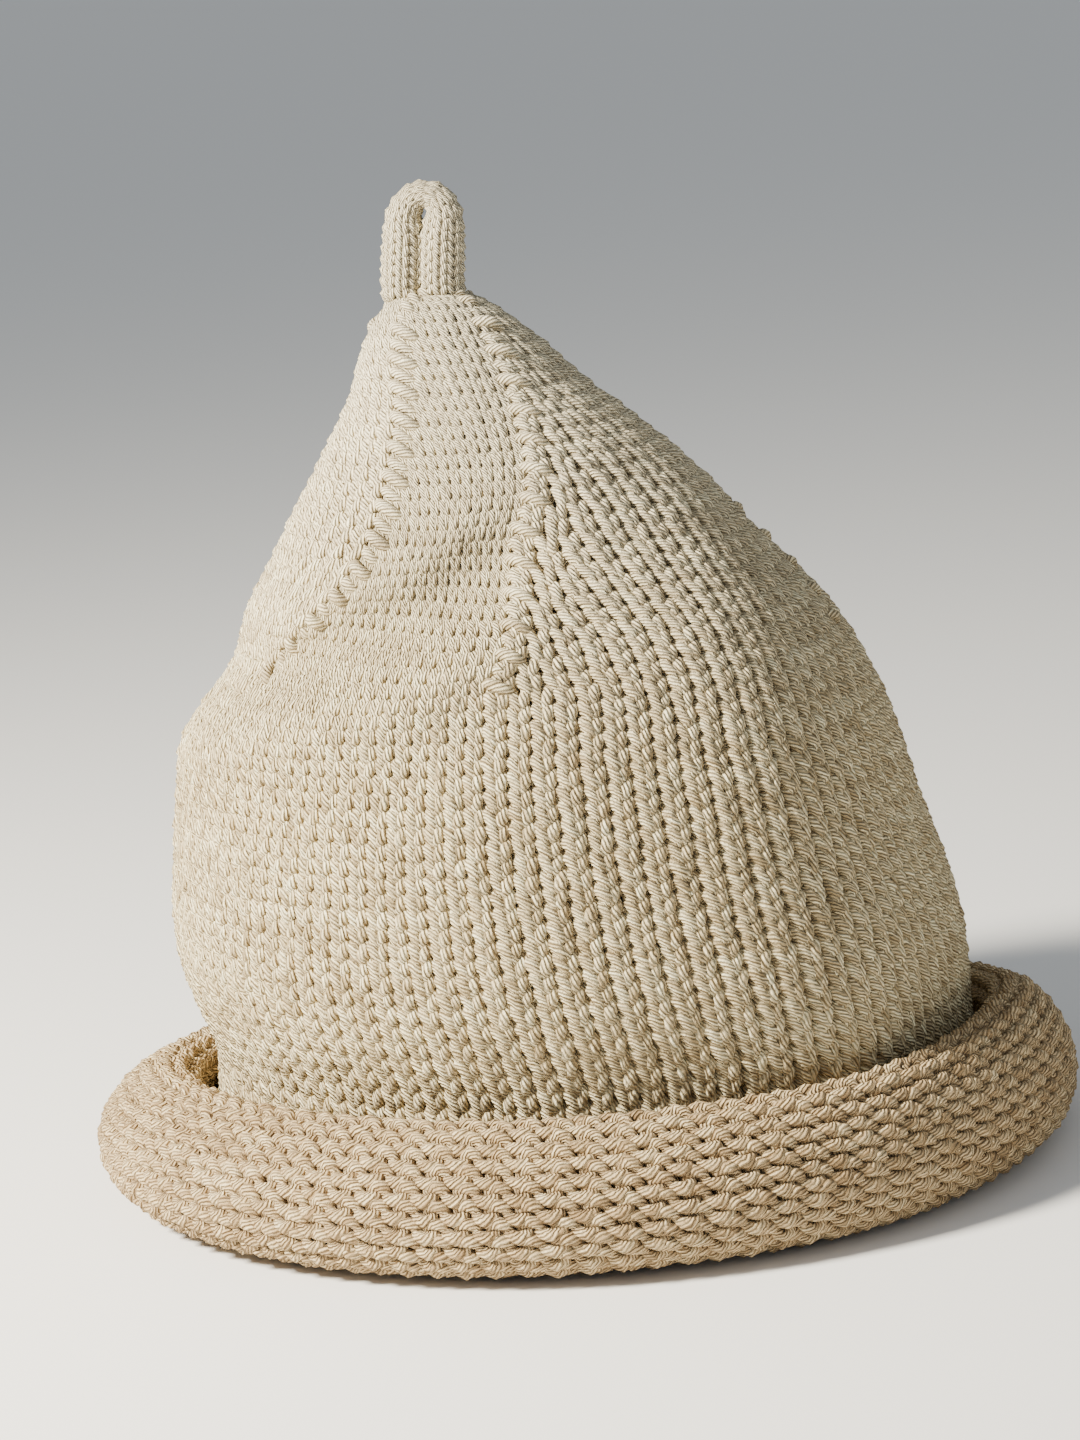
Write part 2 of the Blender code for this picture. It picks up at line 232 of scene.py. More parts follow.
# The crown's stitches. The tables say where the five decrease lines run, course by course, in degrees
# from the front, and how many stitches stand between two of them. A column of stitches ends at the line
# on its left.
DECREASE_LINES = (
    {"course": (0.0, 23.0, 26.7, 28.2, 29.8, 31.0, 32.4, 34.1, 36.1, 38.8, 42.9, 44.3, 49.0, 55.0),
     "degrees": (-80.0, -70.0, -62.9, -56.0, -51.0, -46.5, -43.0, -39.2, -37.7, -37.2, -37.3, -38.3,
                 -41.0, -41.0)},
    {"course": (0.0, 23.6, 25.5, 26.9, 29.0, 31.1, 34.1, 37.5, 41.2, 44.9, 48.5, 51.0, 55.0),
     "degrees": (-9.0, -8.8, -7.5, -5.2, -3.4, -2.0, 1.0, 9.0, 15.8, 23.0, 31.0, 42.0, 47.0)},
    {"course": (0.0, 19.4, 23.9, 27.0, 31.0, 35.0, 40.0, 50.0, 55.0),
     "degrees": (66.0, 71.0, 74.5, 79.0, 88.0, 101.0, 115.0, 123.0, 124.0)},
    {"course": (0.0, 24.0, 30.0, 40.0, 50.0, 55.0),
     "degrees": (136.0, 141.0, 150.0, 168.0, 179.0, 181.0)},
    {"course": (0.0, 24.0, 30.0, 40.0, 50.0, 55.0),
     "degrees": (208.0, 213.0, 218.0, 228.0, 236.0, 238.0)},
)
STITCHES_BETWEEN_LINES = {
    "course": (-30.0, 23.999, 24.0, 50.0, 54.0, 60.0),
    "count": (21.0, 21.0, 21.0, 8.0, 4.0, 4.0),
}
FIRST_DECREASE = 24
LAST_SLOW_DECREASE = 48
YARN_RADIUS = 0.00130
LOOP_REACH = 0.95
CROWN_LOOP = {
    "bulge": 0.270, "skew": -0.04, "gather": 0.05,
    "depth": 0.00105, "tuck": 0.50, "turn": -0.05, "late": 0.0,
    "plump": 0.05, "girth": 1.13,
}
CROWN_POINTS_PER_STITCH = 10
CROWN_YARN_SIDES = 6
STITCHES_DRAWN_TO_LINE = 3
NARROWEST_SHARE = 0.30
UNEVEN_GIRTH = 0.06
UNEVEN_PLACE = 0.035
POINTS_BETWEEN_ERRORS = 4
hand = np.random.default_rng(7)


def line_degrees(line, course):
    whole_turns, which = divmod(line, len(DECREASE_LINES))
    table = DECREASE_LINES[which]
    return np.interp(course, table["course"], table["degrees"]) + 360.0 * whole_turns


def stitches_between(course):
    return np.interp(course, STITCHES_BETWEEN_LINES["course"], STITCHES_BETWEEN_LINES["count"])


def unevenness(count, amount):
    """A hand knitter's small errors along a line of points, changing smoothly from one to the next."""
    marks = hand.normal(0.0, amount, count // POINTS_BETWEEN_ERRORS + 2)
    return np.interp(np.arange(count) / POINTS_BETWEEN_ERRORS, np.arange(len(marks)), marks)


def knit_course(course, points_per_stitch, loop):
    """The yarn of one course: angles, heights in courses, phase in each loop, and width of a stitch."""
    phase = np.linspace(-math.pi, math.pi, points_per_stitch + 1)[:-1]
    height = course + LOOP_REACH * np.cos(phase)
    degrees = []
    for panel in range(len(DECREASE_LINES)):
        right_line = line_degrees(panel + 1, height)
        left_line = line_degrees(panel, height)
        count = stitches_between(height)
        width = (right_line - left_line) / count
        whole = int(stitches_between(course) + 1e-6)
        for stitch in range(whole - 1, -1, -1):
            place = stitch + 0.5 - phase / (2.0 * math.pi)
            near_line = np.maximum(place - (whole - STITCHES_DRAWN_TO_LINE), 0.0)
            place = place + near_line * (count - whole) / STITCHES_DRAWN_TO_LINE
            place = place - loop["bulge"] * np.sin(2.0 * phase) - loop["skew"] * np.cos(phase)
            place = place + loop["gather"] * np.sin(phase)
            degrees.append((right_line - place * width, width))
    heights = np.tile(height, len(degrees))
    phases = np.tile(phase, len(degrees))
    widths = np.concatenate([pair[1] for pair in degrees])
    angles = np.concatenate([pair[0] for pair in degrees])
    close = np.append(np.arange(len(angles)), 0)
    return angles[close], heights[close], phases[close], widths[close]


def lay_courses(courses, points_per_stitch, yarn_used, loop):
    """Lays the yarn of some courses on the fabric, and says how much yarn was used by the end."""
    laid = {"points": [], "facing": [], "phase": [], "thickness": [], "length": []}
    for course in courses:
        angles, heights, phases, widths = knit_course(course, points_per_stitch, loop)
        angles = angles + widths * unevenness(len(angles), UNEVEN_PLACE)
        heights = heights + unevenness(len(angles), UNEVEN_PLACE)
        points, facing = on_fabric(angles, heights)
        middle = points.mean(axis=0)
        reach = np.linalg.norm((points - middle)[:, :2], axis=1)
        widths_m = np.radians(widths) * reach
        thickness = loop["girth"] * np.minimum(1.0, NARROWEST_SHARE * widths_m / YARN_RADIUS)
        wave = np.cos(2.0 * phases + loop["late"]) + loop["tuck"] * np.cos(phases)
        wave = wave - loop["turn"] * np.sin(phases)
        risen = points - facing * (loop["depth"] * thickness * wave)[:, None]
        lengths = yarn_used + np.append(0.0, np.cumsum(np.linalg.norm(np.diff(risen, axis=0), axis=1)))
        thickness = thickness * (1.0 - loop["plump"] * np.cos(2.0 * phases))
        thickness = thickness * (1.0 + unevenness(len(angles), UNEVEN_GIRTH))
        yarn_used = lengths[-1]
        laid["points"].append(points)
        laid["facing"].append(facing)
        laid["phase"].append(phases)
        laid["thickness"].append(thickness)
        laid["length"].append(lengths)
    return laid, yarn_used


# How much the depth of the loops adds to the painted shade on the yarn.
HEIGHT_IN_PAINTED_OCCLUSION = 0.22


def yarn_tree():
    """The Geometry Nodes tree that turns laid lines into yarn: waved in and out, then given girth, with
    painted shade stored for the sides of the yarn.
    """
    tree = bpy.data.node_groups.new("yarn", "GeometryNodeTree")
    tree.interface.new_socket("Lines", in_out="INPUT", socket_type="NodeSocketGeometry")
    radius_socket = tree.interface.new_socket("Yarn Radius", in_out="INPUT", socket_type="NodeSocketFloat")
    depth_socket = tree.interface.new_socket("Loop Depth", in_out="INPUT", socket_type="NodeSocketFloat")
    tuck_socket = tree.interface.new_socket("Loop Tuck", in_out="INPUT", socket_type="NodeSocketFloat")
    turn_socket = tree.interface.new_socket("Loop Turn", in_out="INPUT", socket_type="NodeSocketFloat")
    late_socket = tree.interface.new_socket("Loop Late", in_out="INPUT", socket_type="NodeSocketFloat")
    sides_socket = tree.interface.new_socket("Sides", in_out="INPUT", socket_type="NodeSocketInt")
    material_socket = tree.interface.new_socket("Yarn", in_out="INPUT", socket_type="NodeSocketMaterial")
    tree.interface.new_socket("Geometry", in_out="OUTPUT", socket_type="NodeSocketGeometry")
    nodes, links = tree.nodes, tree.links
    given = nodes.new("NodeGroupInput")
    made = nodes.new("NodeGroupOutput")

    def named(name, data_type):
        node = nodes.new("GeometryNodeInputNamedAttribute")
        node.data_type = data_type
        node.inputs["Name"].default_value = name
        return node.outputs["Attribute"]

    def worked(operation, first, second):
        node = nodes.new("ShaderNodeMath")
        node.operation = operation
        links.new(first, node.inputs[0])
        if isinstance(second, float):
            node.inputs[1].default_value = second
        elif second is not None:
            links.new(second, node.inputs[1])
        return node.outputs[0]

    phase = named("phase", "FLOAT")
    swing = worked("COSINE", worked("ADD", worked("MULTIPLY", phase, 2.0), given.outputs["Loop Late"]), None)
    tuck = worked("MULTIPLY", worked("COSINE", phase, None), given.outputs["Loop Tuck"])
    turn = worked("MULTIPLY", worked("SINE", phase, None), given.outputs["Loop Turn"])
    wave = worked("SUBTRACT", worked("ADD", swing, tuck), turn)
    thickness = named("thickness", "FLOAT")
    sink = worked("MULTIPLY", worked("MULTIPLY", wave, given.outputs["Loop Depth"]), thickness)
    rise = nodes.new("ShaderNodeVectorMath")
    rise.operation = "SCALE"
    links.new(named("facing", "FLOAT_VECTOR"), rise.inputs[0])
    links.new(worked("MULTIPLY", sink, -1.0), rise.inputs["Scale"])
    moved = nodes.new("GeometryNodeSetPosition")
    links.new(given.outputs["Lines"], moved.inputs["Geometry"])
    links.new(rise.outputs[0], moved.inputs["Offset"])
    curves = nodes.new("GeometryNodeMeshToCurve")
    links.new(moved.outputs[0], curves.inputs["Mesh"])
    ring = nodes.new("GeometryNodeCurvePrimitiveCircle")
    ring.inputs["Radius"].default_value = 1.0
    links.new(given.outputs["Sides"], ring.inputs["Resolution"])
    ring_place = nodes.new("GeometryNodeInputPosition")
    ring_named = nodes.new("GeometryNodeStoreNamedAttribute")
    ring_named.data_type = "FLOAT_VECTOR"
    ring_named.inputs["Name"].default_value = "ring"
    links.new(ring.outputs["Curve"], ring_named.inputs["Geometry"])
    links.new(ring_place.outputs[0], ring_named.inputs["Value"])
    swept = nodes.new("GeometryNodeCurveToMesh")
    links.new(curves.outputs[0], swept.inputs["Curve"])
    links.new(ring_named.outputs[0], swept.inputs["Profile Curve"])
    links.new(worked("MULTIPLY", thickness, given.outputs["Yarn Radius"]), swept.inputs["Scale"])
    swept.inputs["Fill Caps"].default_value = True
    smooth = nodes.new("GeometryNodeSetShadeSmooth")
    links.new(swept.outputs[0], smooth.inputs["Geometry"])
    across = nodes.new("ShaderNodeVectorMath")
    across.operation = "DOT_PRODUCT"
    links.new(nodes.new("GeometryNodeInputNormal").outputs[0], across.inputs[0])
    links.new(named("facing", "FLOAT_VECTOR"), across.inputs[1])
    # Painted shade: where the yarn's surface turns away from the fabric's face, and where the loops sink
    # deep, a low value is stored that darkens the colour like occlusion.
    painted_occlusion_value = worked("SUBTRACT", across.outputs["Value"], worked("MULTIPLY", wave, HEIGHT_IN_PAINTED_OCCLUSION))
    painted_occlusion_named = nodes.new("GeometryNodeStoreNamedAttribute")
    painted_occlusion_named.data_type = "FLOAT"
    painted_occlusion_named.inputs["Name"].default_value = "painted_occlusion"
    links.new(smooth.outputs[0], painted_occlusion_named.inputs["Geometry"])
    links.new(worked("ABSOLUTE", painted_occlusion_value, None), painted_occlusion_named.inputs["Value"])
    last = painted_occlusion_named.outputs[0]
    for name in ("facing", "phase", "thickness"):
        cleared = nodes.new("GeometryNodeRemoveAttribute")
        cleared.inputs["Name"].default_value = name
        links.new(last, cleared.inputs["Geometry"])
        last = cleared.outputs[0]
    real = nodes.new("GeometryNodeRealizeInstances")
    links.new(last, real.inputs["Geometry"])
    finished = nodes.new("GeometryNodeSetMaterial")
    links.new(real.outputs[0], finished.inputs["Geometry"])
    links.new(given.outputs["Yarn"], finished.inputs["Material"])
    links.new(finished.outputs[0], made.inputs["Geometry"])
    sockets = {"radius": radius_socket, "depth": depth_socket, "tuck": tuck_socket, "turn": turn_socket,
               "late": late_socket, "sides": sides_socket, "yarn": material_socket}
    return tree, {name: socket.identifier for name, socket in sockets.items()}


def spin_yarn(name, laid, tree, sockets, radius, loop, sides, material):
    """Makes one plain mesh piece from laid lines of yarn."""
    counts = [len(line) for line in laid["points"]]
    starts = np.append(0, np.cumsum(counts))
    ends = np.concatenate([np.stack((np.arange(a, b - 1), np.arange(a + 1, b)), axis=1)
                           for a, b in zip(starts[:-1], starts[1:])])
    mesh = bpy.data.meshes.new(name)
    mesh.vertices.add(int(starts[-1]))
    mesh.vertices.foreach_set("co", np.concatenate(laid["points"]).astype(np.float32).ravel())
    mesh.edges.add(len(ends))
    mesh.edges.foreach_set("vertices", ends.astype(np.int32).ravel())
    facing = mesh.attributes.new("facing", "FLOAT_VECTOR", "POINT")
    facing.data.foreach_set("vector", np.concatenate(laid["facing"]).astype(np.float32).ravel())
    for attribute, key in (("phase", "phase"), ("thickness", "thickness"), ("yarn_length", "length")):
        layer = mesh.attributes.new(attribute, "FLOAT", "POINT")
        layer.data.foreach_set("value", np.concatenate(laid[key]).astype(np.float32))
    piece = bpy.data.objects.new(name, mesh)
    bpy.context.scene.collection.objects.link(piece)
    modifier = piece.modifiers.new("yarn", "NODES")
    modifier.node_group = tree
    modifier[sockets["radius"]] = radius
    modifier[sockets["depth"]] = loop["depth"]
    modifier[sockets["tuck"]] = loop["tuck"]
    modifier[sockets["turn"]] = loop["turn"]
    modifier[sockets["late"]] = loop["late"]
    modifier[sockets["sides"]] = sides
    modifier[sockets["yarn"]] = material
    depsgraph = bpy.context.evaluated_depsgraph_get()
    plain = bpy.data.meshes.new_from_object(
        piece.evaluated_get(depsgraph), preserve_all_data_layers=True, depsgraph=depsgraph)
    piece.modifiers.clear()
    piece.data = plain
    return piece


YARN_TURN_LENGTH = 0.0082
YARN_STRANDS = 4.0
STRAND_WANDER = 3.2
TONES_PER_METRE_OF_STRAND = 150.0
TOP_STARTS_AT = 0.10
TOP_ENDS_AT = 0.200
TOP_PALENESS = 0.55


def yarn_material(name, tone_and_painted_shade):
    """Matt plied yarn: fine strands twisted round it, tones that drift along it, paler towards the tip, with
    painted shade on the yarn's sides and in the grooves between its strands.
    """
    material = bpy.data.materials.new(name)
    material.use_nodes = True
    nodes, links = material.node_tree.nodes, material.node_tree.links
    shader = nodes["Principled BSDF"]
    shader.inputs["Roughness"].default_value = 0.92
    shader.inputs["Specular IOR Level"].default_value = 0.12
    shader.inputs["Sheen Weight"].default_value = 0.08
    shader.inputs["Sheen Roughness"].default_value = 0.55
    shader.inputs["Sheen Tint"].default_value = (1.0, 0.93, 0.82, 1.0)

    def worked(operation, *values):
        node = nodes.new("ShaderNodeMath")
        node.operation = operation
        for socket, value in zip(node.inputs, values):
            if isinstance(value, (int, float)):
                socket.default_value = value
            else:
                links.new(value, socket)
        return node.outputs[0]

    def ramp(value, stops):
        node = nodes.new("ShaderNodeValToRGB")
        links.new(value, node.inputs[0])
        elements = node.color_ramp.elements
        while len(elements) < len(stops):
            elements.new(0.5)
        for element, (place, colour) in zip(elements, stops):
            element.position = place
            element.color = (*colour, 1.0)
        return node.outputs["Color"]

    def blend(kind, share, first, second):
        node = nodes.new("ShaderNodeMix")
        node.data_type = "RGBA"
        node.blend_type = kind
        sockets = (node.inputs["Factor"], node.inputs[6], node.inputs[7])
        for socket, value in zip(sockets, (share, first, second)):
            if isinstance(value, float):
                socket.default_value = value
            elif isinstance(value, tuple):
                socket.default_value = (*value, 1.0)
            else:
                links.new(value, socket)
        return node.outputs[2]

    ring = nodes.new("ShaderNodeAttribute")
    ring.attribute_name = "ring"
    ring_parts = nodes.new("ShaderNodeSeparateXYZ")
    links.new(ring.outputs["Vector"], ring_parts.inputs[0])
    length = nodes.new("ShaderNodeAttribute")
    length.attribute_name = "yarn_length"
    place = nodes.new("ShaderNodeTexCoord")
    wander = nodes.new("ShaderNodeTexNoise")
    wander.inputs["Scale"].default_value = 420.0
    wander.inputs["Detail"].default_value = 2.0
    links.new(place.outputs["Object"], wander.inputs["Vector"])
    angle = worked("ARCTAN2", ring_parts.outputs["Y"], ring_parts.outputs["X"])
    turned = worked("MULTIPLY", length.outputs["Fac"], 2.0 * math.pi / YARN_TURN_LENGTH)
    twist = worked("MULTIPLY", worked("ADD", angle, turned), YARN_STRANDS)
    uneven = worked("ADD", twist, worked("MULTIPLY", wander.outputs["Fac"], STRAND_WANDER))
    strand = worked("ABSOLUTE", worked("SINE", uneven))

    def drift(per_metre, detail):
        node = nodes.new("ShaderNodeTexNoise")
        node.noise_dimensions = "1D"
        node.inputs["Scale"].default_value = per_metre
        node.inputs["Detail"].default_value = detail
        links.new(length.outputs["Fac"], node.inputs["W"])
        return worked("SUBTRACT", node.outputs["Fac"], 0.5)

    tone_place = nodes.new("ShaderNodeCombineXYZ")
    along_strand = worked("MULTIPLY", length.outputs["Fac"], TONES_PER_METRE_OF_STRAND)
    links.new(along_strand, tone_place.inputs["X"])
    links.new(worked("MULTIPLY", twist, 0.45), tone_place.inputs["Y"])
    strand_tone = nodes.new("ShaderNodeTexNoise")
    strand_tone.noise_dimensions = "2D"
    strand_tone.inputs["Scale"].default_value = 1.0
    strand_tone.inputs["Detail"].default_value = 2.0
    links.new(tone_place.outputs[0], strand_tone.inputs["Vector"])
    slow_drift = worked("MULTIPLY", drift(3.1, 1.5), 0.30)
    quick_drift = worked("MULTIPLY", drift(80.0, 1.0), 0.45)
    tones = worked("ADD", slow_drift, quick_drift)
    strand_drift = worked("MULTIPLY", worked("SUBTRACT", strand_tone.outputs["Fac"], 0.5), 1.2)
    tones = worked("ADD", tones, strand_drift)
    colour = ramp(worked("ADD", tones, 0.5), (
        (0.22, (0.40, 0.30, 0.175)),
        (0.38, (0.57, 0.455, 0.29)),
        (0.50, (0.74, 0.615, 0.415)),
        (0.64, (0.93, 0.81, 0.56)),
        (0.80, (1.0, 0.93, 0.69)),
    ))
    place_parts = nodes.new("ShaderNodeSeparateXYZ")
    links.new(place.outputs["Object"], place_parts.inputs[0])
    # This tint is the yarn's tone on the crown, and on the brim it is also painted shade.
    colour = blend("MULTIPLY", 1.0, colour, tone_and_painted_shade)
    to_top = nodes.new("ShaderNodeMapRange")
    to_top.inputs["From Min"].default_value = TOP_STARTS_AT
    to_top.inputs["From Max"].default_value = TOP_ENDS_AT
    to_top.inputs["To Max"].default_value = TOP_PALENESS
    links.new(place_parts.outputs["Z"], to_top.inputs["Value"])
    colour = blend("MIX", to_top.outputs[0], colour, (1.0, 0.925, 0.70))
    # Painted shade: the sides of each yarn and the deep parts of the loops are darkened, like occlusion
    # between the yarns.
    painted_occlusion = nodes.new("ShaderNodeAttribute")
    painted_occlusion.attribute_name = "painted_occlusion"
    sides_in_shade = ramp(painted_occlusion.outputs["Fac"], (
        (0.0, (0.58, 0.55, 0.51)),
        (0.40, (0.68, 0.65, 0.61)),
        (0.80, (0.95, 0.94, 0.93)),
        (1.0, (1.0, 1.0, 1.0)),
    ))
    colour = blend("MULTIPLY", 1.0, colour, sides_in_shade)
    # Painted shade in the grooves between the yarn's strands.
    painted_groove_shade = ramp(strand, (
        (0.0, (0.42, 0.38, 0.32)),
        (0.40, (0.76, 0.735, 0.70)),
        (0.9, (1.0, 1.0, 1.0)),
    ))
    colour = blend("MULTIPLY", 1.0, colour, painted_groove_shade)
    links.new(colour, shader.inputs["Base Color"])

    fibres = nodes.new("ShaderNodeTexNoise")
    fibres.inputs["Scale"].default_value = 2600.0
    fibres.inputs["Detail"].default_value = 3.0
    links.new(place.outputs["Object"], fibres.inputs["Vector"])
    relief = worked("ADD", strand, worked("MULTIPLY", fibres.outputs["Fac"], 0.5))
    bump = nodes.new("ShaderNodeBump")
    bump.inputs["Strength"].default_value = 1.0
    bump.inputs["Distance"].default_value = 0.00060
    links.new(relief, bump.inputs["Height"])
    links.new(bump.outputs["Normal"], shader.inputs["Normal"])
    return material


CROWN_TINT = (1.0, 0.98, 0.865)
yarn = yarn_material("variegated yarn", CROWN_TINT)
yarn_nodes, yarn_sockets = yarn_tree()
yarn_used = 0.0
for piece_name, courses in (
        ("crown_lower_courses", range(0, 15)),
        ("crown_middle_courses", range(15, 30)),
        ("crown_upper_courses", range(30, 55))):
    laid, yarn_used = lay_courses(courses, CROWN_POINTS_PER_STITCH, yarn_used, CROWN_LOOP)
    piece = spin_yarn(
        piece_name, laid, yarn_nodes, yarn_sockets, YARN_RADIUS, CROWN_LOOP, CROWN_YARN_SIDES, yarn)
    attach(piece, "root")
    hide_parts("crown")


# Each decrease knits two stitches together, and they lie across the line as two fat slanted strands, a
# large one over a smaller one. There is one every second course, and one every course near the tip.
BAR_LOOP = {"depth": 0.0, "tuck": 0.0, "turn": 0.0, "late": 0.0}
BAR_GIRTH = 1.10
BAR_LENGTH = 0.0070
BAR_RISE = 0.0020
BAR_SINK = 0.0010
BAR_DROP_COURSES = 0.95
BAR_POINTS = 11
BAR_SIDES = 8
BAR_STARTS_BEFORE_LINE = 0.14
BAR_END_SHARE = 0.05
BAR_FLATNESS = 0.7
UPPER_BAR = {"above": 1.35, "size": 1.0, "rise": 1.0}
LOWER_BAR = {"above": 0.35, "size": 0.85, "rise": 0.6}
QUICK_DECREASES = [50, 51, 52]
QUICK_DECREASE_SIZE = 0.6
bars = {"points": [], "facing": [], "phase": [], "thickness": [], "length": []}
bar_courses = list(range(FIRST_DECREASE, LAST_SLOW_DECREASE + 1, 2)) + QUICK_DECREASES
bars_of_line = [(course, bar) for bar in (UPPER_BAR, LOWER_BAR) for course in bar_courses]
for line in range(1, len(DECREASE_LINES) + 1):
    for course, bar in bars_of_line:
        smaller = (QUICK_DECREASE_SIZE if course in QUICK_DECREASES else 1.0) * bar["size"]
        share = np.linspace(0.0, 1.0, BAR_POINTS)
        heights = course + bar["above"] - BAR_DROP_COURSES * share
        edge, _ = on_fabric(line_degrees(line, heights), heights)
        here = fabric_grid[int((course + BRIM_COURSES) * SAMPLES_PER_COURSE), :, :2]
        reach = np.linalg.norm(edge[:, :2] - here.mean(axis=0), axis=1)
        past_line = (share - BAR_STARTS_BEFORE_LINE) * BAR_LENGTH * smaller
        angles = line_degrees(line, heights) + np.degrees(past_line / reach)
        points, facing = on_fabric(angles, heights)
        top_rise = BAR_RISE * smaller * bar["rise"]
        arch = np.sin(math.pi * (BAR_END_SHARE + (1.0 - BAR_END_SHARE) * share)) ** BAR_FLATNESS
        rise = -BAR_SINK + (top_rise + BAR_SINK) * arch
        points = points + facing * rise[:, None]
        lengths = yarn_used + np.append(0.0, np.cumsum(np.linalg.norm(np.diff(points, axis=0), axis=1)))
        yarn_used = lengths[-1]
        bars["points"].append(points)
        bars["facing"].append(facing)
        bars["phase"].append(np.full(len(points), 0.25 * math.pi))
        bars["thickness"].append(np.full(len(points), BAR_GIRTH * smaller ** 0.5))
        bars["length"].append(lengths)
piece = spin_yarn(
    "decrease_stitches", bars, yarn_nodes, yarn_sockets, YARN_RADIUS, BAR_LOOP, BAR_SIDES, yarn)
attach(piece, "root")
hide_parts("crown")


# The rolled brim is the lower end of the same fabric. The wall goes on down to the table as plain crown
# fabric, and shows where the roll is low, at the back. Then the fabric curls out and up towards its knit
# side, as stockinette does, so the roll shows the purl side, whose bumps lie in rings.
# Painted shade: the brim takes a darker, browner copy of the same yarn as the crown.
BRIM_PAINTED_SHADE = (0.82, 0.71, 0.575)
brim_yarn_painted_shade = yarn_material("variegated yarn with painted shade of the brim", BRIM_PAINTED_SHADE)
BRIM_LOOP = {
    "bulge": 0.19, "skew": 0.10, "gather": 0.0,
    "depth": 0.00100, "tuck": 0.10, "turn": 0.20, "late": -0.20,
    "plump": -0.05, "girth": 1.12,
}
for piece_name, courses, points_per_stitch, sides, loop, material in (
        ("brim_wall_courses", range(-6, 0), CROWN_POINTS_PER_STITCH, CROWN_YARN_SIDES, CROWN_LOOP, yarn),
        ("brim_underside_courses", range(-13, -6), 10, 6, BRIM_LOOP, brim_yarn_painted_shade),
        ("brim_outer_courses", range(-20, -13), 12, 7, BRIM_LOOP, brim_yarn_painted_shade),
        ("brim_top_courses", range(-BRIM_COURSES + 1, -20), 12, 7, BRIM_LOOP, brim_yarn_painted_shade)):
    laid, yarn_used = lay_courses(courses, points_per_stitch, yarn_used, loop)
    piece = spin_yarn(piece_name, laid, yarn_nodes, yarn_sockets, YARN_RADIUS, loop, sides, material)
    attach(piece, "root")
    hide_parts("rolled_brim")


# The loop on the tip is a short cord, knitted in the round from the same yarn and drawn tight, bent
# over until both its ends sit on the crown.
LOOP_HEIGHT = 0.0222
LOOP_CORD = 0.0098
LOOP_LEG_GAP = 0.0006
LOOP_LEAN = 0.0022
LOOP_OFFSET = 0.0008
LOOP_TURN = math.radians(16.0)
LOOP_DEPTH_SHARE = 0.92
LOOP_SECTIONS = {
    "from_foot": (0.0, 0.25, 0.48, 0.68, 0.85, 1.0),
    "across": (1.0, 1.0, 0.98, 0.88, 0.60, 0.0),
    "up": (0.0, 0.28, 0.54, 0.76, 0.93, 1.0),
    "thickness": (1.0, 1.0, 0.95, 0.80, 0.65, 0.60),
}
CORD_YARN_RADIUS = 0.00082
CORD_REACH = 0.80
CORD_LOOP = {"depth": 0.00058, "tuck": 0.5, "turn": 0.0, "late": 0.0}
CORD_PLUMP = 0.13
LEGS_TOGETHER = 0.0016
LEGS_TOGETHER_BELOW = 0.66
LEGS_TOGETHER_WITHIN = 0.2
CORD_STATIONS = 401
CORD_STITCHES = 9
CORD_POINTS_PER_STITCH = 8
CORD_YARN_SIDES = 6
CORD_LOOP_BULGE = 0.30
CORD_COURSES = 21
FOOT_SINK = 0.0035
station = np.linspace(-1.0, 1.0, CORD_STATIONS)
from_foot = 1.0 - np.abs(station)
loop_top = LOOP_HEIGHT - 0.5 * LOOP_CORD * LOOP_SECTIONS["thickness"][-1]
loop_up = loop_top * read_table(LOOP_SECTIONS, "up", "from_foot", from_foot)
legs_close = np.clip((LEGS_TOGETHER_BELOW - from_foot) / LEGS_TOGETHER_WITHIN, 0.0, 1.0)
half_span = 0.5 * (LOOP_CORD + LOOP_LEG_GAP) - 0.5 * LEGS_TOGETHER * legs_close
loop_across = np.sign(station) * half_span * read_table(LOOP_SECTIONS, "across", "from_foot", from_foot)
loop_across = loop_across + LOOP_LEAN * loop_up / loop_top
tip = crown_outside(np.zeros(1), np.ones(1))[0]
cord_middle = np.stack((
    tip[0] + loop_across * math.cos(LOOP_TURN) - LOOP_OFFSET,
    -loop_across * math.sin(LOOP_TURN),
    tip[2] + SEAT_GAP + loop_up), axis=1)
foot_drop = np.array((0.0, 0.0, -FOOT_SINK))
cord_middle = np.concatenate((cord_middle[:1] + foot_drop, cord_middle, cord_middle[-1:] + foot_drop))
from_foot = np.concatenate((from_foot[:1], from_foot, from_foot[-1:]))
cord_side = np.array((math.sin(LOOP_TURN), math.cos(LOOP_TURN), 0.0))
cord_way = np.append(0.0, np.cumsum(np.linalg.norm(np.diff(cord_middle, axis=0), axis=1)))
cord_along = np.gradient(cord_middle, axis=0)
cord_along = cord_along / np.linalg.norm(cord_along, axis=1, keepdims=True)
cord_out = np.cross(cord_along, cord_side)
cord_girth = read_table(LOOP_SECTIONS, "thickness", "from_foot", from_foot)
cord = {"points": [], "facing": [], "phase": [], "thickness": [], "length": []}
phase = np.linspace(-math.pi, math.pi, CORD_POINTS_PER_STITCH + 1)[:-1]
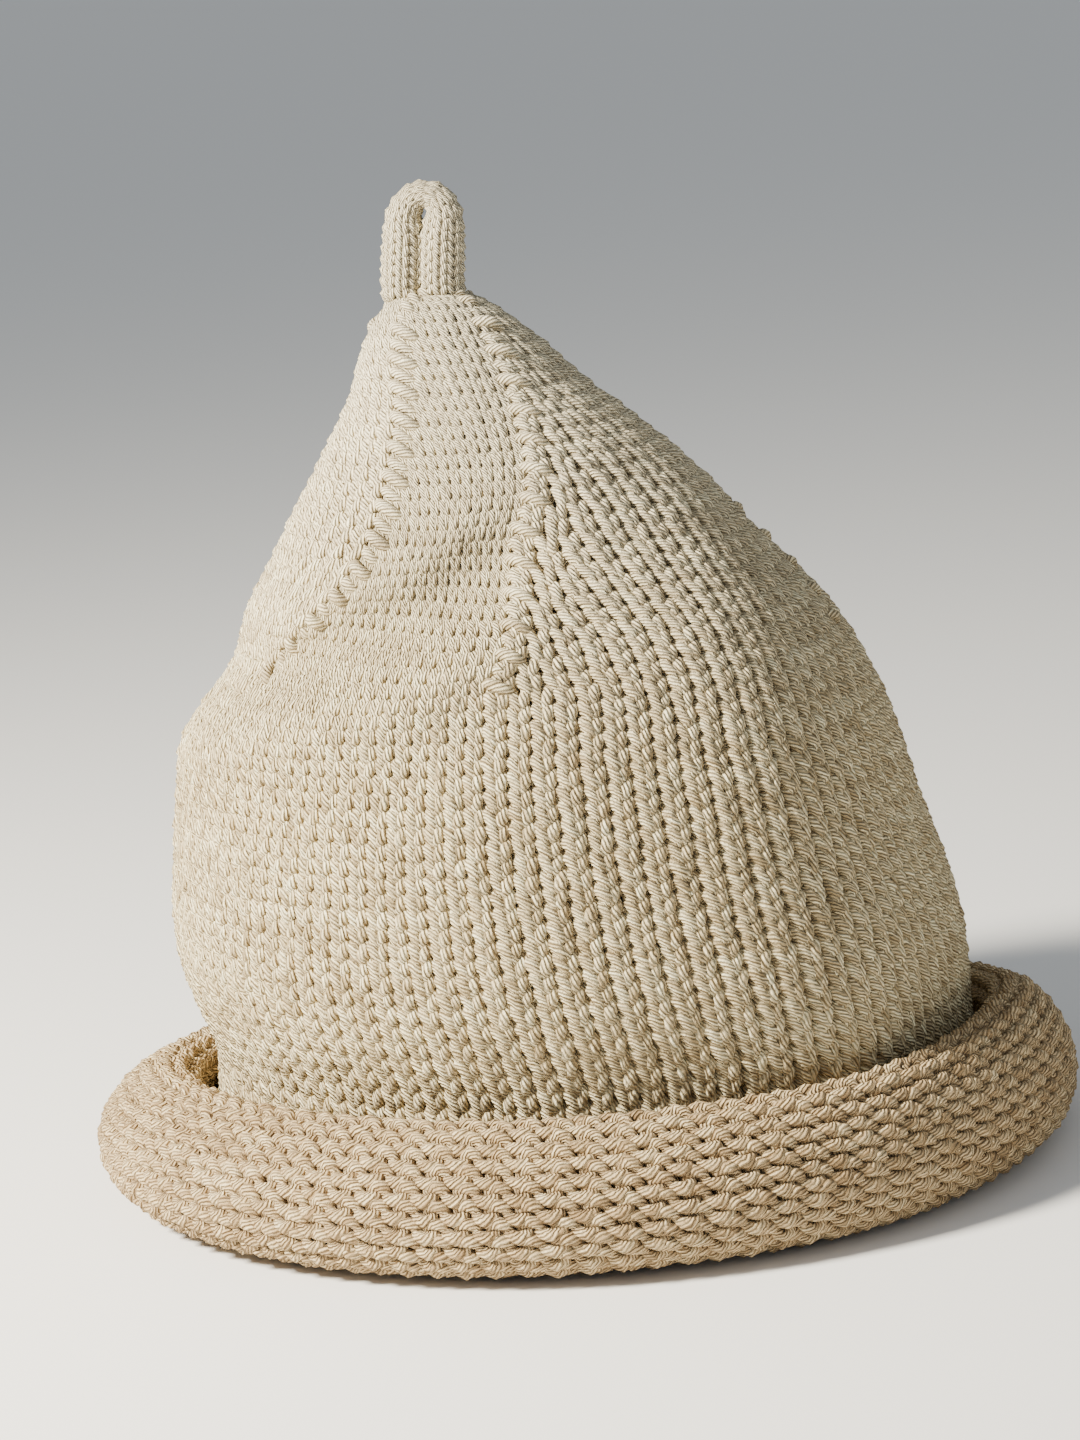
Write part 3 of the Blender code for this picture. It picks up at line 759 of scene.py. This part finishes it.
for course in range(CORD_COURSES):
    turns = []
    for stitch in range(CORD_STITCHES):
        wave = CORD_LOOP_BULGE * np.sin(2.0 * phase)
        turns.append((stitch + 0.5 + phase / (2.0 * math.pi) + wave) / CORD_STITCHES)
    turns = np.concatenate(turns + [turns[0][:1] + 1.0])
    phases = np.append(np.tile(phase, CORD_STITCHES), phase[0])
    way = (course + 0.5 + CORD_REACH * np.cos(phases)) / CORD_COURSES * cord_way[-1]
    middle = np.stack([np.interp(way, cord_way, cord_middle[:, axis]) for axis in range(3)], axis=1)
    out = np.stack([np.interp(way, cord_way, cord_out[:, axis]) for axis in range(3)], axis=1)
    girth = np.interp(way, cord_way, cord_girth)
    spin = 2.0 * math.pi * turns
    facing = out * np.cos(spin)[:, None] + cord_side * np.sin(spin)[:, None]
    yarn_share = np.minimum(1.0, girth + 0.1)
    radius = 0.5 * LOOP_CORD * girth - (CORD_YARN_RADIUS + 0.2 * CORD_LOOP["depth"]) * yarn_share
    points = middle + radius[:, None] * (
        out * np.cos(spin)[:, None] + LOOP_DEPTH_SHARE * cord_side * np.sin(spin)[:, None])
    lengths = yarn_used + np.append(0.0, np.cumsum(np.linalg.norm(np.diff(points, axis=0), axis=1)))
    yarn_used = lengths[-1]
    cord["points"].append(points)
    cord["facing"].append(facing)
    cord["phase"].append(phases)
    cord["thickness"].append(yarn_share * (1.0 - CORD_PLUMP * np.cos(2.0 * phases)))
    cord["length"].append(lengths)
piece = spin_yarn(
    "top_loop_courses", cord, yarn_nodes, yarn_sockets, CORD_YARN_RADIUS, CORD_LOOP, CORD_YARN_SIDES, yarn)
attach(piece, "root")
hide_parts("top_loop")


# The hat stands on a plain pale floor in soft studio light, brightest from the upper left.
FLOOR_HEIGHT = -0.0003
FLOOR_CORNERS = ((-40.0, -20.0), (40.0, -20.0), (40.0, 90.0), (-40.0, 90.0))
floor_mesh = bpy.data.meshes.new("floor")
floor_mesh.from_pydata([(*corner, FLOOR_HEIGHT) for corner in FLOOR_CORNERS], [], [(0, 1, 2, 3)])
floor = bpy.data.objects.new("floor", floor_mesh)
bpy.context.scene.collection.objects.link(floor)
floor_finish = bpy.data.materials.new("pale floor")
floor_finish.use_nodes = True
floor_finish.node_tree.nodes["Principled BSDF"].inputs["Base Color"].default_value = (0.80, 0.78, 0.75, 1.0)
floor_finish.node_tree.nodes["Principled BSDF"].inputs["Roughness"].default_value = 0.9
floor_mesh.materials.append(floor_finish)
world = bpy.data.worlds.new("studio")
world.use_nodes = True
world.node_tree.nodes["Background"].inputs["Color"].default_value = (0.86, 0.93, 1.0, 1.0)
world.node_tree.nodes["Background"].inputs["Strength"].default_value = 0.48
bpy.context.scene.world = world
for name, place, size, power, colour in (
        ("key light", (-0.71, -0.35, 0.66), 0.20, 46.0, (1.0, 0.945, 0.82)),
        ("fill light", (0.9, -1.2, 0.5), 1.2, 2.0, (1.0, 1.0, 1.0))):
    light_data = bpy.data.lights.new(name, "AREA")
    light_data.color = colour
    light_data.size = size
    light_data.energy = power
    light = bpy.data.objects.new(name, light_data)
    light.location = place
    light.rotation_euler = (Vector((0.0, 0.0, 0.1)) - light.location).to_track_quat("-Z", "Y").to_euler()
    bpy.context.scene.collection.objects.link(light)
